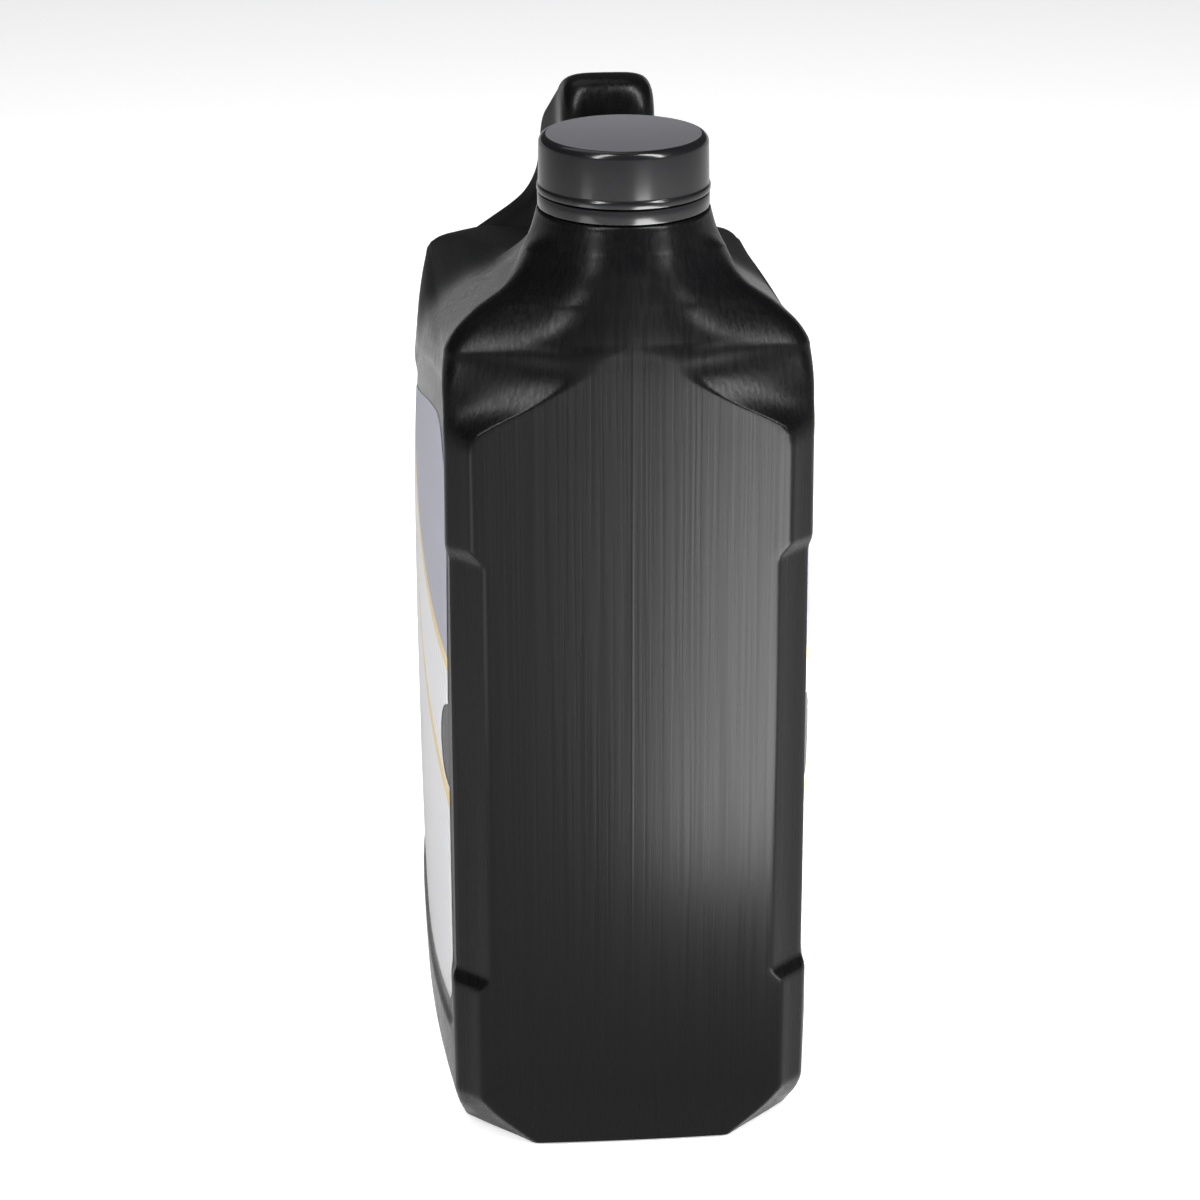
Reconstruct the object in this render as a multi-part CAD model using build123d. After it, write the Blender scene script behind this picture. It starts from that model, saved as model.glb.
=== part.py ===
from build123d import *
import math
import os

# Five-litre motor oil bottle, closed with its screw cap. Millimetres, +Z up.
# Origin: centre of the footprint, on the floor. -Y is the narrow front with the neck,
# +Y the back with the handle, and the two wide label faces look along -X and +X.

# Body
body_length = 204.0
wall = 1.2
base_front_half = 29.0
base_corner_half = 49.0
base_corner_setback = 21.0
base_middle_half = 55.5
base_step_in = 0.8
base_cut_height = 16.0
wall_top = 225.0
corner_half = 53.2
corner_radius = 5.0
panel_edge_radius = 3.2
bow_end = 0.6

# Front and back panels and the four grip cuts in the corner strips
panel_half = 45.5
strip_setback = 7.7
grip_depth = 2.4
grip_low = 53.0
grip_high = 196.0
grip_ramp = 6.0

# Label recesses in the wide faces
recess_depth = 1.3
recess_low = 36.0
recess_half_reach = 84.0
recess_front_top = 222.0
recess_back_top = 150.0
recess_radius = 10.0
label_thickness = 0.25
label_seat = 0.04
label_margin = 6.0
label_radius = 8.0
label_notch_height = 129.0
label_notch_radius = 13.5
label_notch_depth = 6.5

# Neck and closure
neck_setback = 30.4
skirt_radius = 24.3
shoulder_top = 288.0
finish_radius = 20.0
bore_radius = 17.4
finish_top = 306.0
bead_radius = 21.6
bead_low = 290.6
bead_height = 1.6
cap_radius = 24.5
cap_wall = 2.3
cap_top_plate = 1.8
cap_edge_radius = 0.9
closure_gap = 0.4
liner_thickness = 0.8
liner_clearance = 0.4
band_height = 4.0
band_lip = 1.3
running_gap = 0.3

# Handle
handle_half_width = 14.2
handle_front = -21.0
handle_top = 315.6
handle_back = 100.4
handle_back_top = 279.7
handle_back_corner = 252.0
handle_shoulder = 88.0
handle_leg = 20.0
handle_edge_radius = 6.5
handle_root = 236.0
opening_back = 79.0
opening_front_top = 288.5
opening_back_top = 260.5
opening_radius = 8.0

front_y = -body_length / 2
back_y = body_length / 2
neck_y = front_y + neck_setback
band_bottom = shoulder_top + closure_gap
band_top = band_bottom + band_height
cap_bottom = band_top + closure_gap
cap_underside = finish_top + liner_thickness
cap_top = cap_underside + cap_top_plate
cap_bore = cap_radius - cap_wall


def inset_polygon(points, inset):
    """Corners of a convex polygon whose sides all move inwards by the inset."""
    count = len(points)
    sides = []
    for i in range(count):
        (x0, y0), (x1, y1) = points[i], points[(i + 1) % count]
        length = math.hypot(x1 - x0, y1 - y0)
        nx, ny = -(y1 - y0) / length, (x1 - x0) / length
        sides.append((nx, ny, nx * x0 + ny * y0 + inset))
    moved = []
    for i in range(count):
        a1, b1, c1 = sides[i - 1]
        a2, b2, c2 = sides[i]
        det = a1 * b2 - a2 * b1
        moved.append(((c1 * b2 - c2 * b1) / det, (a1 * c2 - a2 * c1) / det))
    return moved


def rounded_face(points, radii):
    """A face bounded by straight sides, with an arc of its own radius at each corner.

    A radius of None makes the arc as large as the neighbouring corners leave room for."""
    count = len(points)
    corners = []
    for i in range(count):
        here = Vector(*points[i])
        d1 = Vector(*points[i - 1]) - here
        d2 = Vector(*points[(i + 1) % count]) - here
        half = math.radians(d1.get_angle(d2)) / 2
        reach = radii[i] / math.tan(half) if radii[i] is not None else None
        corners.append([here, d1, d2, half, reach])
    edges = []
    ends = []
    for i, (here, d1, d2, half, reach) in enumerate(corners):
        if reach is None:
            room = (d1.length - corners[i - 1][4], d2.length - corners[(i + 1) % count][4])
            reach = min(room) - bow_end
        radius = reach * math.tan(half)
        toward = (d1.normalized() + d2.normalized()).normalized()
        middle = here + toward * (radius / math.sin(half) - radius)
        ends.append((here + d1.normalized() * reach, middle, here + d2.normalized() * reach))
    for i in range(count):
        edges.append(ThreePointArc(*ends[i]))
        edges.append(Line(ends[i][2], ends[(i + 1) % count][0]))
    return Face(Wire(edges))


def section(front, back, panel, corner, middle, back_panel, back_corner, inset, radii):
    """One closed section of the body: front and back are its (y, z) ends, which may tilt it.

    The panel and corner values are half widths and the corners' setbacks from the ends,
    and middle is the half width at the bow of the wide faces."""
    (front_end, front_z), (back_end, back_z) = front, back
    length = math.hypot(back_end - front_end, back_z - front_z)
    stretch = length / (back_end - front_end)
    apex = (corner[0] + back_corner[0]) / 2
    apex = apex + (middle - apex) * 1.93
    right = [
        (panel, 0.0),
        (corner[0], corner[1] * stretch),
        (apex, length / 2),
        (back_corner[0], length - back_corner[1] * stretch),
        (back_panel, length),
    ]
    points = right + [(-x, y) for x, y in reversed(right)]
    if inset:
        points = inset_polygon(points, inset)
    panel_r, corner_r = (r - inset * 0.8 for r in radii)
    half = [panel_r, corner_r, None, corner_r, panel_r]
    plane = Plane(
        origin=(0, front_end, front_z), x_dir=(1, 0, 0),
        z_dir=(0, front_z - back_z, back_end - front_end),
    )
    return plane * rounded_face(points, half + half[::-1])


def ring_section(radius, height):
    """A round section about the neck, cut into as many arcs as the other sections have."""
    edges = []
    for i in range(20):
        angles = (math.radians(-81 + 18 * (i + k)) for k in (0, 0.5, 1))
        edges.append(ThreePointArc(*[(radius * math.cos(a), radius * math.sin(a)) for a in angles]))
    return Location((0, neck_y, height)) * Face(Wire(edges))


def level(height, half_corner, middle, inset, setback=strip_setback, panel=panel_half, step=0.0):
    """A level section, alike at the front and the back."""
    return section(
        (front_y + step, height), (back_y - step, height), panel,
        (half_corner, setback), middle, panel, (half_corner, setback), inset,
        (panel_edge_radius, corner_radius),
    )


def base_block(inset):
    """The foot of the body, whose corners are cut back towards the floor."""
    foot = level(inset, base_corner_half, base_middle_half, inset,
                 base_corner_setback, base_front_half, base_step_in)
    top = level(base_cut_height, 53.2, 59.4, inset)
    return loft([foot, top], ruled=True)


def tilted(row, inset):
    """A section from a row of values; its last value says how far the wall sinks it."""
    front, back, panel, corner, middle, back_panel, back_corner, radii, share = row
    drop = inset * share
    return section(
        (front[0], front[1] - drop), (back[0], back[1] - drop), panel, corner,
        middle, back_panel, back_corner, inset, radii,
    )


def wall_block(inset):
    """The upright walls: bowed wide faces that lean in towards the shoulder."""
    rows = [
        (base_cut_height, 53.2, 59.4),
        (60.0, 53.4, 60.6),
        (120.0, 53.2, 61.2),
        (175.0, 52.9, 60.9),
        (205.0, 52.6, 59.7),
        (wall_top, 52.5, 57.8),
    ]
    return loft([level(z, corner, middle, inset) for z, corner, middle in rows])


def shoulder_block(inset):
    """The shoulder: gabled panels, rounded in from the walls and swept up to the skirt."""
    rows = [
        ((-102.0, 231.0), (102.0, 228.0), 40.5, (52.6, 8.2), 57.2, 45.0, (52.5, 7.8), (4.2, 5), 0.15),
        ((-102.0, 238.0), (102.0, 232.5), 34.0, (52.6, 8.8), 56.4, 44.5, (52.5, 8.0), (5, 5), 0.3),
        ((-101.9, 246.0), (101.6, 239.0), 25.0, (52.5, 10.5), 55.0, 43.0, (52.0, 8.7), (7, 6), 0.6),
        ((-101.6, 251.5), (99.8, 244.5), 19.0, (51.4, 12.5), 52.8, 40.5, (50.2, 9.6), (9, 7), 0.9),
        ((-101.2, 255.5), (95.0, 248.0), 15.5, (48.8, 14.2), 49.6, 36.5, (46.6, 10.6), (10, 8), 1),
        ((-100.7, 258.8), (84.0, 250.6), 13.2, (45.6, 15.6), 45.6, 31.0, (41.0, 12.4), (11, 8), 1),
        ((-100.0, 262.5), (62.0, 253.4), 11.2, (41.4, 17.0), 41.0, 24.0, (34.0, 15.0), (12, 9), 1),
        ((-99.0, 267.5), (24.0, 257.8), 9.8, (36.2, 18.4), 36.0, 15.0, (27.5, 18.0), (12, 10), 1),
        ((-98.0, 273.0), (-12.0, 264.0), 8.6, (31.0, 18.2), 31.8, 11.0, (25.0, 18.5), (13, 12), 1),
    ]
    faces = [level(wall_top, 52.5, 57.8, inset)]
    faces += [tilted(row, inset) for row in rows]
    faces.append(ring_section(skirt_radius + 2.2 - inset, shoulder_top - 7.5 - inset))
    faces.append(ring_section(skirt_radius - inset, shoulder_top - inset))
    return loft(faces)


def inner_ends(blocks):
    """Flat faces along which blocks stacked on each other meet."""
    ends = []
    for block in blocks:
        flat = [f for f in block.faces() if len(f.edges()) == 20]
        ends.append(sorted(flat, key=lambda f: f.center().Z))
    return [e[0] for e in ends[1:]] + [e[-1] for e in ends[:-1]]


def body_faces(inset):
    """Outer faces of the whole body, from the floor to the flat top of its skirt."""
    blocks = [base_block(inset), wall_block(inset), shoulder_block(inset)]
    joints = inner_ends(blocks)
    return [f for block in blocks for f in block.faces() if not any(f.is_same(j) for j in joints)]


def grip_cuts(inset):
    """The four grips, cut deeper into the corner strips, with ramps at their two ends."""
    middle = (grip_low + grip_high) / 2
    height = grip_high - grip_low + 2 * inset * 0.4
    normal = Vector(strip_setback, -(corner_half - panel_half), 0).normalized()
    base = Vector(panel_half, front_y, middle) - normal * (grip_depth + inset)
    plane = Plane(origin=base, x_dir=(0, 0, 1), z_dir=normal)
    slope = math.degrees(math.atan2(grip_ramp, grip_depth))
    cut = extrude(plane * Rectangle(height - 2 * grip_ramp, 60), grip_depth + 4, taper=-slope)
    front = [cut, mirror(cut, Plane.YZ)]
    return front + [mirror(c, Plane.XZ) for c in front]


def handle(inset):
    """The hollow grip behind the neck: a bar that falls to the back, on two legs."""
    def rounded_plate(corners, radii, half_width):
        return extrude(Plane.YZ * rounded_face(corners, radii), half_width, both=True)

    front = handle_front + inset
    back = handle_back - inset
    outline = [
        (front, handle_root), (back, handle_root), (back, handle_back_corner),
        (handle_shoulder, handle_back_top - inset), (front, handle_top - inset),
    ]
    plate = rounded_plate(outline, [0.5, 0.5, 9, 12, 9], handle_half_width - inset)
    leg_back = handle_front + handle_leg - inset
    opening = [
        (leg_back, handle_root - 9), (opening_back + inset, handle_root - 9),
        (opening_back + inset, opening_back_top - inset), (leg_back, opening_front_top - inset),
    ]
    radii = [0.5, 0.5, opening_radius, opening_radius]
    plate -= rounded_plate(opening, radii, 2 * handle_half_width)
    side = handle_half_width - inset
    rim = [e for e in plate.edges() if abs(abs(e.center().X) - side) < 0.001]
    rim = [e for e in rim if e.center().Z > handle_root + 6]
    return fillet(rim, handle_edge_radius - inset)


def moulded_form(inset):
    """The bottle's outer form, or with an inset its cavity, up to the top of the skirt."""
    form = Solid(Shell(body_faces(inset)))
    for cut in grip_cuts(inset):
        form -= cut
    return form + handle(inset)


def turned(profile):
    """A ring turned about the neck's axis from its (radius, height) corners."""
    face = Plane.XZ * make_face(Polyline([(r, z) for r, z in profile], close=True))
    return Location((0, neck_y, 0)) * revolve(face, Axis.Z)


def flat_face(solid, height):
    """The largest flat face of a solid that lies level at a height."""
    level_faces = solid.faces().filter_by(GeomType.PLANE).filter_by(Axis.Z)
    return max((f for f in level_faces if abs(f.center().Z - height) < 0.01), key=lambda f: f.area)


def bottle():
    """The blow-moulded bottle: one wall, from the floor to the lip of the neck.

    The outer form and the cavity are joined through the bore into one closed skin."""
    outer = moulded_form(0) + turned([
        (0, shoulder_top - wall / 2), (finish_radius, shoulder_top - wall / 2),
        (finish_radius, bead_low), (bead_radius, bead_low + bead_height * 0.2),
        (bead_radius, bead_low + bead_height * 0.7), (finish_radius, bead_low + bead_height * 1.6),
        (finish_radius, finish_top), (0, finish_top),
    ])
    cavity = moulded_form(wall)
    ceiling_height = shoulder_top - wall
    lip, ceiling = flat_face(outer, finish_top), flat_face(cavity, ceiling_height)
    circles = [
        Location((0, neck_y, z)) * Wire(Edge.make_circle(bore_radius))
        for z in (finish_top, ceiling_height)
    ]
    bore = Location((0, neck_y, ceiling_height)) * Solid.make_cylinder(
        bore_radius, finish_top - ceiling_height)
    skin = [f for f in outer.faces() if not f.is_same(lip)]
    skin += [f for f in cavity.faces() if not f.is_same(ceiling)]
    skin += [Face(lip.outer_wire(), [circles[0]]), Face(ceiling.outer_wire(), [circles[1]])]
    skin += [f for f in bore.faces() if f.geom_type == GeomType.CYLINDER]
    return Solid(Shell(skin))


def screw_cap():
    """The cap: a flat top on a thin skirt, with rounded edges."""
    outer = turned([(0, cap_bottom), (cap_radius, cap_bottom), (cap_radius, cap_top), (0, cap_top)])
    rims = outer.edges().filter_by(GeomType.CIRCLE).group_by(Axis.Z)
    outer = fillet(rims[-1], cap_edge_radius)
    return outer - turned([
        (0, cap_bottom - 1), (cap_bore, cap_bottom - 1), (cap_bore, cap_underside),
        (0, cap_underside),
    ])


def tamper_band():
    """The ring that stays on the neck: a thin skirt with a lip that hooks under the bead."""
    bore = bead_radius + running_gap
    hook = finish_radius + running_gap
    lip_top = bead_low - running_gap
    return turned([
        (hook, band_bottom), (skirt_radius, band_bottom), (skirt_radius, band_top),
        (bore, band_top), (bore, bead_low + bead_height * 0.2), (hook, lip_top),
    ])


def cap_liner():
    """The sealing wad between the lip of the neck and the top of the cap."""
    radius = cap_bore - liner_clearance
    return turned([
        (0, finish_top), (radius, finish_top), (radius, cap_underside), (0, cap_underside),
    ])


def label_outline():
    """Corners and radii of a label in the side view; its top falls towards the back."""
    reach = recess_half_reach - label_margin
    low = recess_low + label_margin
    corners = [
        (-reach, low), (reach, low), (reach, recess_back_top - label_margin),
        (-reach + 50, recess_front_top - label_margin - 4), (-reach, recess_front_top - 16),
    ]
    return corners, [label_radius * 0.4, label_radius, label_radius * 2, label_radius * 3, label_radius]


def label(side):
    """A thin label on one wide face, with a round notch in its front edge."""
    faces = wall_block(-label_seat).faces()
    bow = max(faces, key=lambda f: f.area if f.center().X * side > 0 else 0)
    corners, radii = label_outline()
    prism = extrude(Plane.YZ * rounded_face(corners, radii), side * 80)
    front = -recess_half_reach + label_margin
    notch = Plane.YZ * Location((front, label_notch_height)) * Ellipse(
        label_notch_depth, label_notch_radius)
    prism -= extrude(notch, side * 80)
    patch = bow & prism
    return Solid.thicken(patch, label_thickness)


def main():
    os.makedirs("parts", exist_ok=True)
    export_step(bottle(), "parts/bottle.step")
    export_step(screw_cap(), "parts/screw_cap.step")
    export_step(tamper_band(), "parts/tamper_band.step")
    export_step(cap_liner(), "parts/cap_liner.step")
    export_step(label(-1), "parts/left_label.step")
    export_step(label(1), "parts/right_label.step")


main()
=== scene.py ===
"""Visible surfaces, finishes and stage of a five litre motor oil bottle.

Every shape is worked out in millimetres with +Z up and the narrow front towards -Y, and
put into its mesh in metres. The bottle stands on the floor at z = 0."""

import math

import bmesh
import bpy
import numpy as np
from bpy.props import FloatProperty, FloatVectorProperty, PointerProperty
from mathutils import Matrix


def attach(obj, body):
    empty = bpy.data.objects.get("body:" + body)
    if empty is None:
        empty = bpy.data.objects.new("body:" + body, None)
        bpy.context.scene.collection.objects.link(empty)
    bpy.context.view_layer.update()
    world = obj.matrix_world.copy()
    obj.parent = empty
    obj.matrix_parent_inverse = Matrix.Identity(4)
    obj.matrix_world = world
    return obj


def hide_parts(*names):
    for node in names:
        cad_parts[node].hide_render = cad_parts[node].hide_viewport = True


bl_info = {
    "name": "Motor Oil Bottle",
    "version": (1, 0, 0),
    "blender": (4, 5, 0),
    "location": "3D View > Sidebar > Oil Bottle",
    "description": "Builds a blow-moulded five litre oil bottle with its cap, labels and stage",
    "category": "Object",
}

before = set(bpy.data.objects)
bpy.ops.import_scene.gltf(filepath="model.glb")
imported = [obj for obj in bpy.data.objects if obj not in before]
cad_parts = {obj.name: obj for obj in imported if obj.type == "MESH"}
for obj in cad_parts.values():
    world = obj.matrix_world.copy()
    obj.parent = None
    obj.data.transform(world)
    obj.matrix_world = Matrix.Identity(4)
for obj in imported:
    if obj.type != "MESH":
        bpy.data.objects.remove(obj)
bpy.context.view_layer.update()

MM = 0.001
NECK_Y = -71.6
FINISH_RADIUS = 20.0
WALL = 1.2
WALL_TOP = 224.5
GRIP_LOW, GRIP_HIGH, GRIP_RAMP, GRIP_DEPTH = 53.0, 196.0, 6.0, 3.4
THREAD_PITCH = 4.0
CAP_BORE, CAP_UNDERSIDE, CAP_TOP = 22.2, 306.8, 308.6


# Numbers on grids


def smooth_step(x):
    """0 below 0, 1 above 1, and 3x^2 - 2x^3 between, so that both ends are level."""
    x = np.clip(x, 0.0, 1.0)
    return x * x * (3.0 - 2.0 * x)


def smooth_rows(knots, rows, at, even_from=None):
    """Piecewise cubic curves through rows of values.

    The slope at a knot is the harmonic mean of the slopes on its two sides, or level where
    they change sign, so that no curve overshoots. From the row even_from on, the slopes are
    those with which the second derivative runs on evenly through the knots."""
    knots, rows = np.asarray(knots, float), np.asarray(rows, float)
    shape = (-1,) + (1,) * (rows.ndim - 1)
    step = np.diff(knots).reshape(shape)
    slope = np.diff(rows, axis=0) / step
    product = slope[1:] * slope[:-1]
    total = slope[1:] + slope[:-1]
    inner = np.where(product > 0, 2 * product / np.where(total == 0, 1, total), 0.0)
    tangent = np.concatenate([slope[:1], inner, slope[-1:]])
    if even_from is not None:
        matrix = np.eye(len(knots))
        known = tangent.copy()
        for i in range(even_from, len(knots) - 1):
            before, after = knots[i] - knots[i - 1], knots[i + 1] - knots[i]
            matrix[i, i - 1:i + 2] = after, 2 * (before + after), before
            known[i] = 3 * (after * slope[i - 1] + before * slope[i])
        tangent = np.linalg.solve(matrix, known.reshape(len(knots), -1)).reshape(rows.shape)
    i = np.clip(np.searchsorted(knots, at, side="right") - 1, 0, len(knots) - 2)
    h = (knots[i + 1] - knots[i]).reshape(shape)
    t = ((at - knots[i]) / (knots[i + 1] - knots[i])).reshape(shape)
    return ((2 * t**3 - 3 * t**2 + 1) * rows[i] + (t**3 - 2 * t**2 + t) * h * tangent[i]
            + (3 * t**2 - 2 * t**3) * rows[i + 1] + (t**3 - t**2) * h * tangent[i + 1])


def chord_knots(rows):
    """Knots of rows of values or points: the summed root mean square change between rows."""
    flat = np.asarray(rows, float).reshape(len(rows), -1)
    change = np.sqrt((np.diff(flat, axis=0) ** 2).mean(axis=1))
    return np.concatenate([[0.0], np.cumsum(np.maximum(change, 1e-6))])


def polygon_distance(y, z, corners):
    """Signed distance of points from a polygon's outline, negative inside: the least
    distance to its sides, with the sign from how often a level ray crosses them."""
    corners = np.asarray(corners, float)
    best = np.full(y.shape, np.inf)
    inside = np.zeros(y.shape, bool)
    for (y0, z0), (y1, z1) in zip(corners, np.roll(corners, -1, axis=0)):
        dy, dz = y1 - y0, z1 - z0
        t = np.clip(((y - y0) * dy + (z - z0) * dz) / (dy * dy + dz * dz), 0, 1)
        best = np.minimum(best, np.hypot(y - y0 - t * dy, z - z0 - t * dz))
        crosses = (z0 > z) != (z1 > z)
        ahead = y < y0 + (z - z0) * dy / (dz if dz else 1e-9)
        inside ^= crosses & ahead
    return np.where(inside, -best, best)


def rounded_corners(corners, radii, steps=8):
    """A polygon whose corners become arcs of the given radii, each in steps parts: the
    centre lies on the corner's bisector, and the arc touches both sides."""
    corners = np.asarray(corners, float)
    before, after = np.roll(corners, 1, axis=0) - corners, np.roll(corners, -1, axis=0) - corners
    before /= np.linalg.norm(before, axis=1, keepdims=True)
    after /= np.linalg.norm(after, axis=1, keepdims=True)
    half = np.arccos(np.clip((before * after).sum(1), -1, 1)) / 2
    radii = np.asarray(radii, float)
    reach = (radii / np.tan(half))[:, None]
    middle = before + after
    centre = corners + middle / np.linalg.norm(middle, axis=1, keepdims=True) * (
        radii / np.sin(half))[:, None]
    start, end = corners + before * reach - centre, corners + after * reach - centre
    turn = (math.pi - 2 * half)[:, None, None]
    t = np.linspace(0, 1, steps + 1)[None, :, None]
    arc = (np.sin((1 - t) * turn) * start[:, None] + np.sin(t * turn) * end[:, None]) / np.sin(turn)
    return (centre[:, None] + arc).reshape(-1, 2)


# Meshes


def grid_faces(rows, columns, closed=True):
    """Corner numbers of the quads between the points of a grid whose rows go round."""
    i = np.arange(rows - 1)[:, None] * columns
    j = np.arange(columns if closed else columns - 1)[None, :]
    after = (j + 1) % columns
    quads = np.stack([i + j, i + after, i + columns + after, i + columns + j], axis=-1)
    return quads.reshape(-1, 4)


def with_ends(grid):
    """A grid of rings with its first and last ring drawn together to their middles."""
    ends = [np.broadcast_to(grid[row].mean(axis=0), grid[row].shape)[None] for row in (0, -1)]
    return np.concatenate([ends[0], grid, ends[1]])


class Surface:
    """Points in millimetres and the faces between them, gathered before one mesh is made."""

    def __init__(self):
        self.points, self.faces, self.marks, self.count = [], [], [], 0

    def add(self, points, faces, mark=0):
        """Adds a patch whose face numbers count from its own first point."""
        self.points.append(np.asarray(points, float).reshape(-1, 3))
        self.faces += (np.asarray(faces) + self.count).tolist()
        self.marks += [mark] * len(faces)
        self.count += len(self.points[-1])

    def tube(self, grid, mark=0):
        """Adds a grid of rings."""
        self.add(grid, grid_faces(*grid.shape[:2]), mark)

    def build(self, name, materials, body, slot, smooth=math.radians(40)):
        """Makes the mesh in metres, with its materials and with sharp edges where faces turn by
        more than the angle smooth, and lets it ride on a body."""
        mesh = bpy.data.meshes.new(name)
        mesh.from_pydata(np.concatenate(self.points) * MM, [], self.faces)
        for material in materials:
            mesh.materials.append(material)
        mesh.polygons.foreach_set("material_index", np.array(self.marks, np.int32))
        weld(mesh)
        mesh.shade_smooth()
        if smooth:
            mesh.set_sharp_from_angle(angle=smooth)
        piece = bpy.data.objects.new(name, mesh)
        bpy.context.scene.collection.objects.link(piece)
        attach(piece, body)
        return piece


def weld(mesh):
    """Joins points in one place, which closes seams and the poles of drawn-in rings."""
    shape = bmesh.new()
    shape.from_mesh(mesh)
    bmesh.ops.remove_doubles(shape, verts=shape.verts, dist=2e-7)
    bmesh.ops.dissolve_degenerate(shape, edges=shape.edges, dist=1e-8)
    shape.to_mesh(mesh)
    shape.free()


def turned(profile):
    """Rings of a turned piece: each (radius, height) of a profile carried round the neck's axis."""
    profile = np.asarray(profile, float)
    angle = np.linspace(0, 2 * math.pi, 128, endpoint=False)
    ring = np.stack([np.cos(angle), np.sin(angle)], axis=-1)
    flat = profile[:, 0, None, None] * ring[None]
    height = np.broadcast_to(profile[:, 1, None, None], flat.shape[:2] + (1,))
    return np.concatenate([flat, height], axis=-1) + np.array([0, NECK_Y, 0])


# Bottle


# front y, front z, back y, back z, panel, corner, setback, middle,
# back panel, back corner, back setback, panel radius, corner radius
SECTION_ROWS = [
    (-101.2, 0.9, 101.2, 0.9, 29.7, 50.2, 20.0, 55.7, 29.7, 50.2, 20.0, 3.2, 5.0),
    (-101.9, 14.2, 101.9, 14.2, 43.6, 52.9, 9.2, 58.9, 43.6, 52.9, 9.2, 3.2, 5.0),
    (-102.0, 17.6, 102.0, 17.6, 45.5, 53.2, 7.7, 59.4, 45.5, 53.2, 7.7, 3.2, 5.0),
    (-102.0, 60.0, 102.0, 60.0, 45.5, 53.4, 7.7, 60.6, 45.5, 53.4, 7.7, 3.2, 5.0),
    (-102.0, 120.0, 102.0, 120.0, 45.5, 53.2, 7.7, 61.05, 45.5, 53.2, 7.7, 3.2, 5.0),
    (-102.0, 175.0, 102.0, 175.0, 45.5, 52.9, 7.7, 60.8, 45.5, 52.9, 7.7, 3.2, 5.0),
    (-102.0, 205.0, 102.0, 205.0, 45.5, 52.6, 7.7, 59.7, 45.5, 52.6, 7.7, 3.2, 5.0),
    (-102.0, 224.5, 102.0, 224.5, 45.5, 52.5, 7.7, 57.8, 45.5, 52.5, 7.7, 3.2, 5.0),
    (-102.0, 229.0, 102.0, 226.2, 45.0, 52.6, 7.9, 57.4, 45.3, 52.6, 7.7, 3.2, 5.0),
    (-102.0, 232.0, 102.0, 227.2, 41.0, 52.6, 8.3, 57.0, 45.0, 52.6, 7.8, 3.6, 5.0),
    (-102.0, 238.0, 102.0, 228.9, 29.0, 52.6, 9.4, 56.0, 44.0, 52.4, 8.0, 5.0, 5.0),
    (-102.0, 244.5, 101.7, 230.5, 18.6, 52.5, 11.0, 54.4, 43.0, 52.2, 8.7, 14.0, 6.0),
    (-101.9, 251.0, 100.8, 232.6, 15.6, 52.1, 12.8, 52.0, 41.0, 51.4, 9.6, 40.0, 7.0),
    (-101.7, 256.5, 99.0, 234.8, 14.6, 50.7, 14.2, 49.0, 38.2, 50.0, 10.6, 80.0, 8.0),
    (-101.4, 260.0, 96.4, 236.8, 13.7, 48.4, 15.6, 46.0, 35.2, 47.8, 12.0, 90.0, 9.0),
    (-101.0, 263.5, 91.4, 239.0, 12.6, 45.2, 17.0, 42.6, 31.5, 44.8, 14.0, 90.0, 11.0),
    (-100.6, 267.0, 81.4, 241.8, 11.8, 41.4, 17.4, 39.0, 26.5, 40.6, 16.6, 70.0, 13.0),
    (-100.2, 270.0, 60.4, 245.0, 11.2, 37.8, 17.6, 36.0, 21.0, 35.4, 18.0, 60.0, 14.0),
    (-99.8, 272.7, 34.0, 249.0, 10.9, 34.8, 17.5, 33.4, 16.5, 31.2, 18.5, 50.0, 15.0),
    (-99.4, 275.2, 8.5, 254.2, 10.7, 32.3, 17.2, 31.2, 13.4, 28.4, 18.5, 45.0, 16.0),
    (-98.8, 277.8, -15.5, 261.4, 10.6, 30.1, 16.8, 29.5, 11.4, 26.6, 18.5, 40.0, 16.0),
    (-98.1, 280.3, -33.0, 270.2, 10.5, 28.2, 16.0, 28.0, 9.8, 25.4, 18.2, 40.0, 16.0),
]

# A wide face's corner lies this many times further out than the middle of its bow, and the
# other corners' arcs take up to this share of the sides next to them
BOW_REACH, ARC_SHARE = 1.93, 0.47

# The shoulder's sections sag between these heights of their front
SAG, SAG_LOW, SAG_HIGH = 0.6, 242.0, 279.0

# How many of the body's last levels steer the curve from the shoulder to the skirt
SHOULDER_KEYS = 40

# (radius, height) of the skirt, the neck's finish with its bead, the lip and the bore
SKIRT_RINGS = [(25.6, 283.6), (24.95, 286.0), (24.7, 287.0), (24.45, 287.75), (23.8, 288.0)]
FINISH_RINGS = [
    (20.4, 288.05), (20.05, 288.3), (20.0, 290.2), (20.7, 290.7), (21.4, 290.9), (21.6, 291.2),
    (21.6, 291.8), (21.2, 292.3), (20.2, 293.0), (20.0, 293.4), (20.0, 305.4), (19.8, 305.85),
    (19.4, 306.0), (17.9, 306.0), (17.5, 305.8), (17.4, 305.3), (17.4, 288.2), (17.8, 286.9),
    (19.6, 285.6), (22.6, 282.4),
]

# Outline (y, z), corner radii and width of the edge of the shallow recess in each wide face
RECESS = [(-91, 36), (88, 36), (88, 160), (62, 196), (22, 218), (-45, 235), (-91, 243)]
RECESS_RADII = [6, 10, 14, 30, 60, 60, 10]
RECESS_EDGE = 2.6
PANEL_HALF = 45.0


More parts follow.
